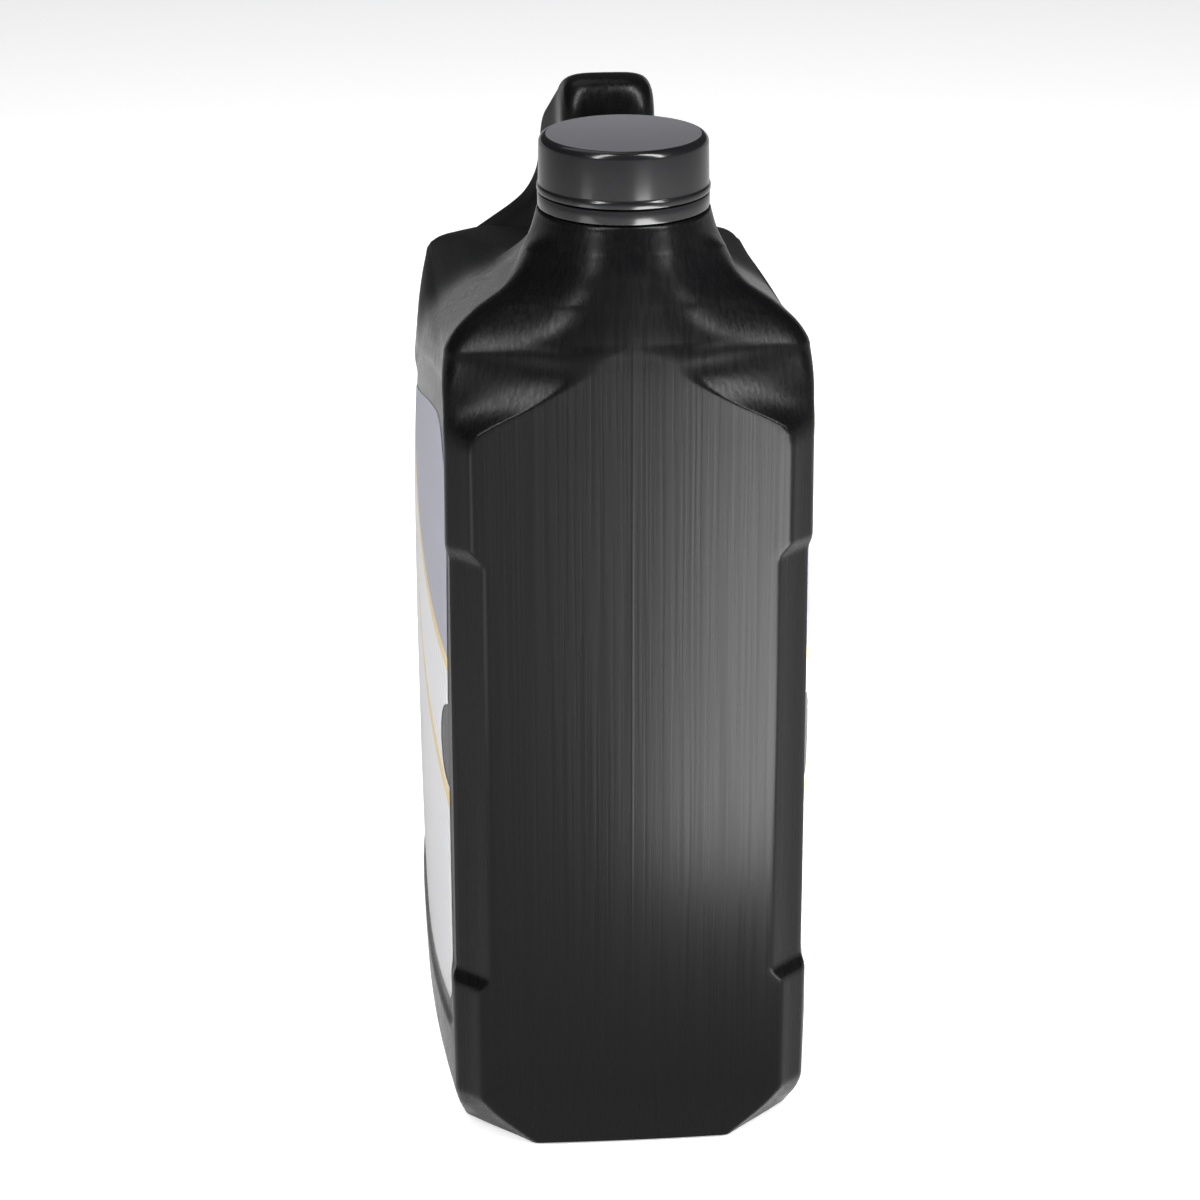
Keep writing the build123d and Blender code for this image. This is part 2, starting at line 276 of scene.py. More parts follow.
def section_points(row, counts):
    """Sections of the body, one for each row of values, as points in space.

    A section is a polygon of ten corners in a plane that may tilt to the back, where the
    shoulder's sections sag by the product of their distances from the front and the back.
    Its corners become arcs, and those of the wide faces are as large as their neighbours
    leave room for."""
    (front_y, front_z, back_y, back_z, panel, corner, setback, middle, back_panel,
     back_corner, back_setback, panel_r, corner_r) = row.T
    length = np.hypot(back_y - front_y, back_z - front_z)
    stretch = length / (back_y - front_y)
    apex = (corner + back_corner) / 2
    apex = apex + (middle - apex) * BOW_REACH
    zero = np.zeros_like(length)
    right = [(panel, zero), (corner, setback * stretch), (apex, length / 2),
             (back_corner, length - back_setback * stretch), (back_panel, length)]
    corners = np.array(right + [(-x, s) for x, s in reversed(right)]).transpose(2, 0, 1)
    before = np.roll(corners, 1, axis=1) - corners
    after = np.roll(corners, -1, axis=1) - corners
    room = np.linalg.norm(before, axis=2), np.linalg.norm(after, axis=2)
    before, after = before / room[0][..., None], after / room[1][..., None]
    half = np.arccos(np.clip((before * after).sum(2), -1, 1)) / 2
    radii = np.stack([panel_r, corner_r, zero, corner_r, panel_r] * 2, axis=1)
    reach = np.minimum(radii / np.tan(half), np.minimum(room[0], room[1]) * ARC_SHARE)
    radii = reach * np.tan(half)
    for bow in (2, 7):
        reach[:, bow] = np.minimum(room[0][:, bow] - reach[:, bow - 1],
                                   room[1][:, bow] - reach[:, bow + 1]) - 0.6
        radii[:, bow] = reach[:, bow] * np.tan(half[:, bow])
    bisector = before + after
    bisector /= np.linalg.norm(bisector, axis=2, keepdims=True)
    centre = corners + bisector * (radii / np.sin(half))[..., None]
    first = corners + before * reach[..., None] - centre
    last = corners + after * reach[..., None] - centre
    turn = math.pi - 2 * half
    parts = []
    for k in range(10):
        arc_count, line_count = counts[k]
        t = np.linspace(0, 1, arc_count)[None, :, None]
        angle = turn[:, k, None, None]
        arc = np.sin((1 - t) * angle) * first[:, k, None] + np.sin(t * angle) * last[:, k, None]
        parts.append(centre[:, k, None] + arc / np.sin(angle))
        start, end = centre[:, k] + last[:, k], centre[:, (k + 1) % 10] + first[:, (k + 1) % 10]
        t = np.linspace(0, 1, line_count + 2)[1:-1][None, :, None]
        parts.append(start[:, None] * (1 - t) + end[:, None] * t)
    flat = np.concatenate(parts, axis=1)
    along = flat[..., 1] / length[:, None]
    y = front_y[:, None] + along * (back_y - front_y)[:, None]
    sag = SAG * smooth_step((front_z - SAG_LOW) / 14) * smooth_step((SAG_HIGH - front_z) / 8)
    way = along + sag[:, None] * along * (1 - along)
    z = front_z[:, None] + way * (back_z - front_z)[:, None]
    return np.stack([flat[..., 0], y, z], axis=-1)


# Points on the arc and on the straight side after it, for each corner of one half. A wide
# face's points come after those of the panel's corner and of the corner strip.
HALF_COUNTS = [(6, 5), (7, 1), (84, 1), (7, 5), (6, 30)]
SECTION_COUNTS = HALF_COUNTS * 2
HALF_SECTION = sum(arc + line for arc, line in HALF_COUNTS)
STRIP_POINTS, FACE_START, FACE_POINTS = 8, 19, 84


def body_levels():
    """Row values at every level of the body: the table's rows joined by smooth curves, with
    the corner strips moved inwards by the grips' depth between their two ramps. Levels lie
    closer together at the recess's lower edge and at the ramps."""
    table = np.array(SECTION_ROWS)
    knots = chord_knots(table)
    fine = np.linspace(0, knots[-1], 4000)
    heights = smooth_rows(knots, table[:, 1:2], fine)[:, 0]
    upright = np.concatenate([
        np.linspace(0.9, 17.6, 12), np.arange(19, WALL_TOP, 2.1),
        np.arange(33.5, 38.6, 0.6), np.arange(GRIP_LOW - 2, GRIP_LOW + GRIP_RAMP + 2, 0.7),
        np.arange(GRIP_HIGH - GRIP_RAMP - 2, GRIP_HIGH + 2, 0.7),
    ])
    upright = np.unique(np.round(upright, 1))
    wall_end = np.interp(WALL_TOP, heights, fine)
    at = np.concatenate([np.interp(upright, heights, fine), np.linspace(wall_end, knots[-1], 72)])
    rows = smooth_rows(knots, table, at, even_from=11)
    z = rows[:, 1]
    grip = smooth_step((z - GRIP_LOW) / GRIP_RAMP) * smooth_step((GRIP_HIGH - z) / GRIP_RAMP)
    shift = np.where(z < WALL_TOP, grip, 0) * GRIP_DEPTH
    rows[:, [4, 8]] -= shift[:, None]
    rows[:, [6, 10]] += shift[:, None]
    return rows


def swell_face(face):
    """Makes the bow of a wide face fuller in place: the share of its rise from the corner to
    the middle, t, becomes 1 - (1 - t)^p, with p from 1 above and below to 1.6 at mid height."""
    x = np.abs(face[..., 0])
    start = x[:, :1]
    rise = x.max(axis=1, keepdims=True) - start
    z = face[..., 2]
    power = 1 + 0.6 * smooth_step((z - 5) / 60) * smooth_step((215 - z) / 80)
    share = 1 - np.clip(1 - (x - start) / np.maximum(rise, 1e-6), 0, 1) ** power
    face[..., 0] = np.sign(face[..., 0]) * (start + rise * share)


def body_grid(panel_crown, recess_depth):
    """The body's skin from the floor to the skirt, as a grid of points.

    Sections of the level rows; then the wide faces sink by the recess's depth times a
    smooth step of the distance inside its outline, and the panels' sides fall back from
    their middle by the crown times the square of x over the panel's half width."""
    grid = section_points(body_levels(), SECTION_COUNTS)
    for start in (FACE_START, FACE_START + HALF_SECTION):
        swell_face(grid[:, start:start + FACE_POINTS])
    x, y, z = np.moveaxis(grid, -1, 0)
    inside = -polygon_distance(y, z, rounded_corners(RECESS, RECESS_RADII))
    on_wide_face = smooth_step((np.abs(x) - 44) / 4)
    x = x - np.sign(x) * recess_depth * smooth_step(inside / RECESS_EDGE + 0.5) * on_wide_face
    on_panel = smooth_step((np.abs(y) - 88) / 12) * smooth_step((262 - z) / 30)
    y = y - np.sign(y) * panel_crown * np.minimum((x / PANEL_HALF) ** 2, 1.15) * on_panel
    return np.stack([x, y, z], axis=-1)


def neck_rings(grid, rings):
    """Rings about the neck's axis whose points keep the directions that the last section's
    points have from that axis, part of the way towards even steps."""
    last = grid[-1]
    angle = np.unwrap(np.arctan2(last[:, 1] - NECK_Y, last[:, 0]))
    even = angle[0] + np.arange(len(angle)) * 2 * math.pi / len(angle)
    angle = angle * 0.7 + (even + (angle - even).mean()) * 0.3
    rings = np.asarray(rings, float)
    flat = rings[:, 0, None, None] * np.stack([np.cos(angle), np.sin(angle)], axis=-1)[None]
    height = np.broadcast_to(rings[:, 1, None, None], flat.shape[:2] + (1,))
    return np.concatenate([flat, height], axis=-1) + np.array([0, NECK_Y, 0])


def handle_grid():
    """The handle: a rounded bar carried along its path in the middle plane.

    Each station has the bar's outer and inner point in (y, z) and its half width. A ring is
    a superellipse of power 4.2 between the two points."""
    stations = np.array([
        (-45.0, 250.0, 24.0, 246.0, 38.0), (-37.0, 258.5, 14.0, 252.5, 31.0),
        (-30.5, 266.0, 6.5, 258.5, 24.5), (-25.5, 275.0, 2.0, 265.5, 19.2),
        (-22.4, 285.0, -0.2, 272.5, 15.9), (-21.2, 294.0, -0.4, 278.5, 14.5),
        (-20.9, 301.5, 0.8, 283.0, 14.2), (-19.2, 307.6, 3.4, 285.6, 14.2),
        (-15.0, 311.1, 7.0, 285.6, 14.2), (-9.0, 311.6, 11.5, 284.1, 14.2),
        (2.0, 308.0, 18.0, 281.9, 14.2), (22.0, 301.4, 31.0, 277.3, 14.2),
        (44.0, 294.0, 47.0, 271.7, 14.2), (62.0, 288.0, 60.0, 267.2, 14.2),
        (76.0, 283.3, 69.5, 263.7, 14.2), (85.0, 279.6, 74.5, 260.9, 14.2),
        (91.5, 274.5, 77.3, 259.4, 14.2), (96.3, 267.0, 78.6, 256.4, 14.4),
        (98.6, 260.0, 78.6, 252.8, 15.2), (99.3, 254.0, 77.6, 249.3, 17.2),
        (99.7, 249.0, 75.6, 246.3, 20.4), (99.8, 245.0, 72.6, 244.0, 25.0),
        (99.8, 241.0, 68.0, 241.4, 31.0), (99.8, 236.5, 62.0, 238.0, 38.0),
    ])
    knots = chord_knots(stations)
    fine = smooth_rows(knots, stations, np.linspace(0, knots[-1], 110))
    outer, inner, half = fine[:, 0:2], fine[:, 2:4], fine[:, 4]
    angle = np.linspace(0, 2 * math.pi, 64, endpoint=False)
    power = 2 / 4.2
    across = np.sign(np.cos(angle)) * np.abs(np.cos(angle)) ** power
    along = np.sign(np.sin(angle)) * np.abs(np.sin(angle)) ** power
    middle, reach = (outer + inner) / 2, (outer - inner) / 2
    yz = middle[:, None] + reach[:, None] * along[None, :, None]
    x = half[:, None] * across[None]
    return np.concatenate([x[..., None], yz], axis=-1)


def thread_grid(radius, depth, low, turns, inner=False):
    """A thread: a rounded ridge carried along a helix, which sinks away at both ends."""
    angle = np.linspace(0, turns * 2 * math.pi, int(turns * 90))
    fade = smooth_step(angle / 0.5) * smooth_step((angle[-1] - angle) / 0.5)
    shape = np.array([(-0.3, -1.15), (0.35, -0.75), (0.9, -0.4), (1.0, 0.0), (0.9, 0.4),
                      (0.35, 0.75), (-0.3, 1.15)])
    side = -1 if inner else 1
    r = radius + side * depth * (shape[None, :, 0] * fade[:, None] - 0.3 * (1 - fade[:, None]))
    z = low + angle[:, None] * THREAD_PITCH / (2 * math.pi) + shape[None, :, 1]
    grid = np.stack([r * np.cos(angle)[:, None], r * np.sin(angle)[:, None] + NECK_Y, z], axis=-1)
    return grid if not inner else grid[:, ::-1]


def make_bottle(settings):
    """The bottle's skin inside and out, its handle and the thread on its neck.

    The floor's rings are shares of the body's first ring, at heights that leave a foot."""
    grid = body_grid(settings.panel_crown / MM, settings.recess_depth / MM)
    skirt = neck_rings(grid, SKIRT_RINGS)
    key = np.concatenate([grid[-SHOULDER_KEYS:], skirt])
    knots = chord_knots(key)
    at = np.linspace(knots[SHOULDER_KEYS - 1], knots[-1], 30)[1:]
    upper = smooth_rows(knots, key, at, even_from=SHOULDER_KEYS - 10)
    floor = grid[0].copy()
    centre = floor.mean(axis=0) + np.array([0, 0, 0.3])
    under = []
    for share, height in ((0.0, 1.6), (0.3, 1.6), (0.6, 1.6), (0.84, 1.5), (0.88, 0.9),
                          (0.915, 0.15), (0.94, 0.0), (0.975, 0.0), (0.99, 0.25)):
        ring = centre + (floor - centre) * share
        ring[:, 2] = height
        under.append(ring)
    finish = neck_rings(grid, FINISH_RINGS)
    surface = Surface()
    surface.tube(np.concatenate([np.array(under), grid, upper, finish, inner_skin(grid)]))
    surface.tube(with_ends(handle_grid()))
    surface.tube(with_ends(thread_grid(FINISH_RADIUS, 1.35, 296.2, 1.7)))
    piece = surface.build("bottle_skin", [bottle_plastic(settings)], "bottle", "bottle")
    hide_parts("bottle")


def inner_skin(grid):
    """The wall's inner side: some of the body's levels, moved in by the wall's thickness
    along the surface's normal, from the shoulder down to the floor."""
    across = np.roll(grid, -1, axis=1) - np.roll(grid, 1, axis=1)
    upward = np.gradient(grid, axis=0)
    normal = np.cross(across, upward)
    normal /= np.linalg.norm(normal, axis=2, keepdims=True) + 1e-12
    inside = grid - normal * WALL
    picked = inside[np.unique(np.linspace(2, len(grid) - 1, 34).astype(int))][::-1]
    floor = picked[-1].copy()
    floor[:, 2] = 2 * WALL
    centre = floor.mean(axis=0)
    base = [centre + (floor - centre) * share for share in (0.97, 0.5, 0.0)]
    return np.concatenate([picked, np.array(base)])


# Closure


def make_closure(settings):
    """The cap with its inner thread, the tamper band and the sealing liner."""
    radius = settings.cap_radius / MM
    side = radius - 0.62
    edge = 2.3
    bevel = [(side - edge * (1 - math.cos(a)), CAP_TOP - edge * (1 - math.sin(a)))
             for a in np.linspace(0, math.pi / 2, 14)]
    wall = [(CAP_BORE, 306.75), (CAP_BORE, 293.3), (22.5, 292.85), (radius - 0.45, 292.8),
            (radius - 0.1, 292.95), (radius, 293.3), (radius, 294.3), (radius - 0.1, 294.65),
            (radius - 0.32, 294.85), (radius - 0.4, 295.05), (radius - 0.38, 295.4)]
    top = [(side - edge - 0.2, CAP_TOP - 0.1), (0.0, CAP_TOP - 0.1)]
    surface = Surface()
    surface.tube(turned([(0.0, CAP_UNDERSIDE), (22.0, CAP_UNDERSIDE)] + wall[:1]), mark=1)
    surface.tube(turned(wall + bevel[:-1]))
    surface.tube(turned([bevel[-2], bevel[-1]] + top), mark=1)
    surface.tube(with_ends(thread_grid(CAP_BORE, 1.0, 294.9, 1.6, inner=True)))
    gloss, matte = cap_gloss(settings), cap_matte(settings)
    cap = surface.build("cap_skin", [gloss, matte], "cap", "cap")
    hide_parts("screw_cap")
    band = Surface()
    lip = [(20.3, 288.6), (20.6, 288.4), (23.9, 288.4), (24.2, 288.5), (24.3, 288.9), (24.3, 291.9),
           (24.2, 292.3), (23.9, 292.4), (22.2, 292.4), (21.9, 292.2), (21.9, 291.0), (20.3, 290.3),
           (20.3, 288.6)]
    band.tube(turned(lip))
    ring = band.build("band_skin", [gloss], "bottle", "cap")
    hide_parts("tamper_band")
    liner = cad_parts["cap_liner"]
    liner.data.materials.clear()
    liner.data.materials.append(liner_foam())


# Labels


# Outline (y, z) and corner radii of a label, its notch, and the width that its print's
# coordinates take as 1
LABEL = [(-86, 43), (82, 43), (82, 154), (57, 187), (20, 207), (-46, 223), (-74, 228), (-86, 214)]
LABEL_RADII = [3, 8, 12, 24, 60, 60, 12, 10]
NOTCH_Y, NOTCH_Z, NOTCH_DEPTH, NOTCH_HALF = -86.0, 129.0, 8.5, 13.0
PRINT_SIZE = 190.0


def wide_face_x(grid, y, z):
    """Half width of the body at points of its right wide face: every level of the skin is
    read at the point's y, and x lies between the two levels below and above its z."""
    face = grid[:, FACE_START - STRIP_POINTS:FACE_START + FACE_POINTS + STRIP_POINTS + 1]
    at, height = y.ravel(), z.ravel()
    widths = np.array([np.interp(at, row[:, 1], row[:, 0]) for row in face])
    heights = np.array([np.interp(at, row[:, 1], row[:, 2]) for row in face])
    above = np.clip((heights <= height).sum(axis=0), 1, len(face) - 1)
    pick = np.arange(len(at))
    low, high = heights[above - 1, pick], heights[above, pick]
    share = (height - low) / (high - low)
    x = widths[above - 1, pick] * (1 - share) + widths[above, pick] * share
    return x.reshape(y.shape)


def make_labels(settings, recess_depth):
    """Two labels, each a thin sheet that follows the floor of its recess.

    Its points fill the outline between its front and back edge on level lines, which lie
    closer together at the notch, on the recess's floor and the label's thickness above it."""
    grid = body_grid(0.0, recess_depth / MM)
    outline = rounded_corners(LABEL, LABEL_RADII, 12)
    low, high = outline[:, 1].min() + 0.02, outline[:, 1].max() - 0.02
    notch_low, notch_high = NOTCH_Z - NOTCH_HALF, NOTCH_Z + NOTCH_HALF
    z = np.concatenate([np.linspace(low, notch_low - 4, 20),
                        np.linspace(notch_low - 2, notch_high + 2, 41),
                        np.linspace(notch_high + 4, high, 60)])
    front, back = outline_edges(outline, z)
    notch = NOTCH_DEPTH * np.sqrt(np.clip(1 - ((z - NOTCH_Z) / NOTCH_HALF) ** 2, 0, 1))
    front = np.maximum(front, NOTCH_Y + notch)
    share = np.linspace(0, 1, 90)
    y = front[:, None] + (back - front)[:, None] * share[None]
    height = np.broadcast_to(z[:, None], y.shape)
    x = wide_face_x(grid, y, height)
    thickness = settings.thickness / MM
    for side, name in ((1, "right_label"), (-1, "left_label")):
        shell = []
        for lift in (0.02, thickness):
            shell.append(np.stack([side * (x + lift), y, height], axis=-1))
        piece = label_sheet(shell, side)
        made = piece.build(name + "_sheet", [label_print(settings)], "bottle", "label", smooth=0)
        uv = made.data.uv_layers.new(name="print")
        co = np.empty(len(made.data.vertices) * 3)
        made.data.vertices.foreach_get("co", co)
        index = np.empty(len(made.data.loops), np.int32)
        made.data.loops.foreach_get("vertex_index", index)
        flat = (co.reshape(-1, 3)[index][:, 1:] / MM - np.array(LABEL[0])) / PRINT_SIZE
        uv.data.foreach_set("uv", flat.ravel())
        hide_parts(name)


def outline_edges(outline, z):
    """Front and back y of a closed outline at each height."""
    start, end = outline, np.roll(outline, -1, axis=0)
    low, high = np.minimum(start[:, 1], end[:, 1]), np.maximum(start[:, 1], end[:, 1])
    hit = (z[:, None] >= low) & (z[:, None] <= high) & (high > low)
    t = (z[:, None] - start[:, 1]) / np.where(end[:, 1] == start[:, 1], 1, end[:, 1] - start[:, 1])
    y = start[:, 0] + t * (end[:, 0] - start[:, 0])
    return np.where(hit, y, np.inf).min(axis=1), np.where(hit, y, -np.inf).max(axis=1)


def label_sheet(shell, side):
    """A closed thin sheet from its lower and upper grid of points."""
    rows, columns = shell[0].shape[:2]
    lower = grid_faces(rows, columns, closed=False)
    upper = lower + rows * columns
    number = np.arange(rows * columns).reshape(rows, columns)
    rim = np.concatenate([number[0, :-1], number[:-1, -1], number[-1, :0:-1], number[:0:-1, 0]])
    after = np.roll(rim, -1)
    wall = np.stack([rim, after, after + rows * columns, rim + rows * columns], axis=-1)
    faces = np.concatenate([lower[:, ::-1], upper, wall])
    surface = Surface()
    surface.add(np.concatenate([shell[0].reshape(-1, 3), shell[1].reshape(-1, 3)]),
                faces if side > 0 else faces[:, ::-1])
    return surface


# Finishes


def new_material(name):
    """An empty node material with its output and Principled BSDF."""
    material = bpy.data.materials.new(name)
    material.use_nodes = True
    nodes = material.node_tree.nodes
    return material, material.node_tree, nodes["Principled BSDF"]


def link(tree, source, target):
    """Joins two sockets."""
    tree.links.new(source, target)


def node(tree, kind, **properties):
    """A node with its properties."""
    made = tree.nodes.new(kind)
    for key, value in properties.items():
        setattr(made, key, value)
    return made


def calculate(tree, operation, *values):
    """The result of a Math node whose inputs are sockets or numbers."""
    made = node(tree, "ShaderNodeMath", operation=operation)
    for socket, value in zip(made.inputs, values):
        if isinstance(value, bpy.types.NodeSocket):
            link(tree, value, socket)
        else:
            socket.default_value = value
    return made.outputs[0]


def map_range(tree, value, start, end, low=0.0, high=1.0, kind="SMOOTHSTEP"):
    """A value's way from start to end, as a way from low to high, eased at both ends unless
    its kind is LINEAR."""
    made = node(tree, "ShaderNodeMapRange", interpolation_type=kind)
    for key, number in (("From Min", start), ("From Max", end), ("To Min", low), ("To Max", high)):
        made.inputs[key].default_value = number
    link(tree, value, made.inputs["Value"])
    return made.outputs["Result"]


def object_axes(tree):
    """The X, Y and Z sockets of Object coordinates, which in the world are a ray's direction."""
    coords = tree.nodes.new("ShaderNodeTexCoord")
    split = tree.nodes.new("ShaderNodeSeparateXYZ")
    link(tree, coords.outputs["Object"], split.inputs[0])
    return split.outputs


def moulded_bump(tree, shader, height, distance):
    """Raises a shader's surface by a height socket times a distance."""
    bump = tree.nodes.new("ShaderNodeBump")
    bump.inputs["Strength"].default_value = 1.0
    bump.inputs["Distance"].default_value = distance
    link(tree, height, bump.inputs["Height"])
    link(tree, bump.outputs["Normal"], shader.inputs["Normal"])


def moulded_grain_group():
    """Node group: upright die streaks and fine grain of moulded plastic, from Object coordinates."""
    name = "Moulded grain"
    if name in bpy.data.node_groups:
        return bpy.data.node_groups[name]
    group = bpy.data.node_groups.new(name, "ShaderNodeTree")
    face = group.interface
    for label, value in (("Streak width", 900.0), ("Streak length", 9.0), ("Grain size", 2600.0)):
        made = face.new_socket(name=label, in_out="INPUT", socket_type="NodeSocketFloat")
        made.default_value = value
    for label in ("Streaks", "Grain", "Height"):
        face.new_socket(name=label, in_out="OUTPUT", socket_type="NodeSocketFloat")
    inputs, outputs = group.nodes.new("NodeGroupInput"), group.nodes.new("NodeGroupOutput")
    coords = group.nodes.new("ShaderNodeTexCoord")
    scale = group.nodes.new("ShaderNodeCombineXYZ")
    for axis, key in (("X", "Streak width"), ("Y", "Streak width"), ("Z", "Streak length")):
        link(group, inputs.outputs[key], scale.inputs[axis])
    stretched = node(group, "ShaderNodeVectorMath", operation="MULTIPLY")
    link(group, coords.outputs["Object"], stretched.inputs[0])
    link(group, scale.outputs["Vector"], stretched.inputs[1])
    streaks = node(group, "ShaderNodeTexNoise")
    streaks.inputs["Scale"].default_value = 1.0
    streaks.inputs["Detail"].default_value = 3.0
    link(group, stretched.outputs["Vector"], streaks.inputs["Vector"])
    grain = node(group, "ShaderNodeTexNoise")
    grain.inputs["Detail"].default_value = 2.0
    link(group, coords.outputs["Object"], grain.inputs["Vector"])
    link(group, inputs.outputs["Grain size"], grain.inputs["Scale"])
    total = calculate(group, "MULTIPLY_ADD", grain.outputs["Fac"], 0.35, streaks.outputs["Fac"])
    link(group, streaks.outputs["Fac"], outputs.inputs["Streaks"])
    link(group, grain.outputs["Fac"], outputs.inputs["Grain"])
    link(group, total, outputs.inputs["Height"])
    return group


def parting_line_height(tree, strength):
    """Height of the mould's parting line: a bell curve of x about the middle plane."""
    scaled = calculate(tree, "MULTIPLY", object_axes(tree)["X"], 2600.0)
    square = calculate(tree, "MULTIPLY", scaled, scaled)
    bell = calculate(tree, "EXPONENT", calculate(tree, "MULTIPLY", square, -1.0))
    return calculate(tree, "MULTIPLY", bell, strength)


def roof_mask(tree):
    """1 on the roof behind the neck, which is coarser than the walls, and 0 below and before it."""
    axes = object_axes(tree)
    behind = map_range(tree, axes["Y"], -0.02, 0.03)
    above = map_range(tree, axes["Z"], 0.222, 0.236)
    return calculate(tree, "MULTIPLY", behind, above)


def bottle_plastic(settings):
    """Black blow-moulded polyethylene: satin, with upright streaks and a parting line."""
    material, tree, shader = new_material("Bottle polyethylene")
    shader.inputs["Base Color"].default_value = (*settings.colour, 1)
    shader.inputs["Specular IOR Level"].default_value = 0.105
    grain = tree.nodes.new("ShaderNodeGroup")
    grain.node_tree = moulded_grain_group()
    rough = map_range(tree, grain.outputs["Streaks"], 0.3, 0.7, settings.roughness - 0.05,
                      settings.roughness + 0.05, kind="LINEAR")
    coarse = calculate(tree, "MULTIPLY_ADD", roof_mask(tree), 0.4, rough)
    link(tree, coarse, shader.inputs["Roughness"])
    height = calculate(tree, "ADD", grain.outputs["Height"], parting_line_height(tree, 0.5))
    moulded_bump(tree, shader, height, 0.00004)
    return material


def cap_gloss(settings):
    """Smooth injection-moulded polypropylene of the cap's skirt and the band."""
    name = "Cap gloss"
    if name in bpy.data.materials:
        return bpy.data.materials[name]
    material, _, shader = new_material(name)
    shader.inputs["Base Color"].default_value = (*settings.cap_colour, 1)
    shader.inputs["Roughness"].default_value = 0.18
    shader.inputs["Specular IOR Level"].default_value = 0.28
    return material


def cap_matte(settings):
    """Spark-eroded matte face of the cap: fine even grain, with the cap's colour made fifteen times
    paler, a painted sheen for the light that falls on the matte top.
    """
    material, tree, shader = new_material("Cap matte")
    # painted sheen: the same black plastic, its colour lifted to stand for the light on the top
    painted_sheen = 15.0
    shader.inputs["Base Color"].default_value = (*(c * painted_sheen for c in settings.cap_colour), 1)
    shader.inputs["Roughness"].default_value = 0.5
    grain = tree.nodes.new("ShaderNodeGroup")
    grain.node_tree = moulded_grain_group()
    grain.inputs["Streak width"].default_value = 1500.0
    grain.inputs["Streak length"].default_value = 1500.0
    moulded_bump(tree, shader, grain.outputs["Height"], 0.0001)
    return material


def liner_foam():
    """White foamed polyethylene of the sealing liner."""
    material, _, shader = new_material("Liner foam")
    shader.inputs["Base Color"].default_value = (0.8, 0.8, 0.78, 1)
    shader.inputs["Roughness"].default_value = 0.6
    return material


def slanted_band(tree, place, middle, half_width):
    """1 near middle, falling smoothly to 0 at half_width from it, for a place socket."""
    away = calculate(tree, "ABSOLUTE", calculate(tree, "SUBTRACT", place, middle))
    return map_range(tree, away, half_width * 0.7, half_width, 1.0, 0.0)


def label_print(settings):
    """Coated label: silver below with fine slanted strokes, whose shade is the sine of their
    millimetres, grey violet above a rising edge, and gold bands that run out to the front."""
    name = "Label print"
    if name in bpy.data.materials:
        return bpy.data.materials[name]
    material, tree, shader = new_material(name)
    shader.inputs["Roughness"].default_value = 0.55
    shader.inputs["Specular IOR Level"].default_value = 0.12
    uv = node(tree, "ShaderNodeUVMap", uv_map="print")
    split = tree.nodes.new("ShaderNodeSeparateXYZ")
    link(tree, uv.outputs["UV"], split.inputs[0])
    edge_slant, band_slant, stroke_slant = (
        calculate(tree, "MULTIPLY_ADD", split.outputs["X"], slope, split.outputs["Y"])
        for slope in (-0.42, -0.7, -1.6))
    ripple = calculate(tree, "SINE", calculate(tree, "MULTIPLY", stroke_slant, PRINT_SIZE))
    stroke = map_range(tree, ripple, 0.3, 1.0, 0.0, 0.3, kind="LINEAR")
    upper = map_range(tree, edge_slant, 0.595, 0.605)
    colour = (*settings.silver, 1)
    for mask, tint in ((stroke, [c * 0.55 for c in settings.silver]),
                       (upper, settings.violet),
                       (slanted_band(tree, edge_slant, 0.59, 0.012), settings.gold),
                       (slanted_band(tree, band_slant, 0.36, 0.016), settings.gold)):
        mix = node(tree, "ShaderNodeMix", data_type="RGBA")
        link(tree, mask, mix.inputs["Factor"])
        if isinstance(colour, tuple):
            mix.inputs["A"].default_value = colour
        else:
            link(tree, colour, mix.inputs["A"])
        mix.inputs["B"].default_value = (*tint, 1)
        colour = mix.outputs["Result"]
    link(tree, colour, shader.inputs["Base Color"])
    return material


# Stage


def make_stage(settings):
    """Pale floor, soft lamps, white surroundings and the camera at the photo's angle."""
    scene = bpy.context.scene
    scene.view_settings.view_transform = "Standard"
    side = 4.0
    corners = [(-side, -side, 0), (side, -side, 0), (side, side, 0), (-side, side, 0)]
    mesh = bpy.data.meshes.new("floor")
    mesh.from_pydata(corners, [], [(0, 1, 2, 3)])
    mesh.materials.append(floor_white(settings))
    ground = bpy.data.objects.new("floor", mesh)
    scene.collection.objects.link(ground)
    white_world(settings)
    for name, place, target, turn, width, length, power in (
            ("left_lamp", (-0.64, -0.78, 1.2), (0, -0.07, 0.25), 0, 0.17, 1.5, settings.left_power),
            ("right_lamp", (0.7, -0.72, 1.2), (0, -0.07, 0.25), 0, 0.17, 1.5, settings.right_power),
            ("low_left_lamp", (-0.55, -0.46, 0.02), None, -55, 0.23, 0.7, settings.low_left_power),
            ("low_right_lamp", (0.24, -0.57, 0.02), None, 13, 0.28, 0.72, settings.low_right_power),
            ("top_lamp", (-0.3, 0.5, 1.5), (0, 0, 0.2), 0, 0.9, 0.9, settings.top_power)):
        lamp = bpy.data.lights.new(name, "AREA")
        lamp.shape, lamp.size, lamp.size_y, lamp.energy = "RECTANGLE", width, length, power
        holder = bpy.data.objects.new(name, lamp)
        holder.location = place
        holder.rotation_euler = (math.pi, 0, math.radians(turn)) if target is None else (
            look_angles(np.array(target) - np.array(place)))
        holder.visible_camera = False
        scene.collection.objects.link(holder)
    camera = bpy.data.cameras.new("camera")
    camera.lens, camera.sensor_width = settings.lens, 36.0
    camera.clip_start, camera.clip_end = 0.05, 30.0
    holder = bpy.data.objects.new("camera", camera)
    holder.location = settings.camera_place
    holder.rotation_euler = [math.radians(v) for v in settings.camera_turn]
    scene.collection.objects.link(holder)
    scene.camera = holder


def look_angles(direction):
    """Euler angles that turn a lamp's -Z to a direction, with its Y kept upright."""
    x, y, z = direction / np.linalg.norm(direction)
    return (math.acos(-z), 0.0, math.atan2(-x, y))


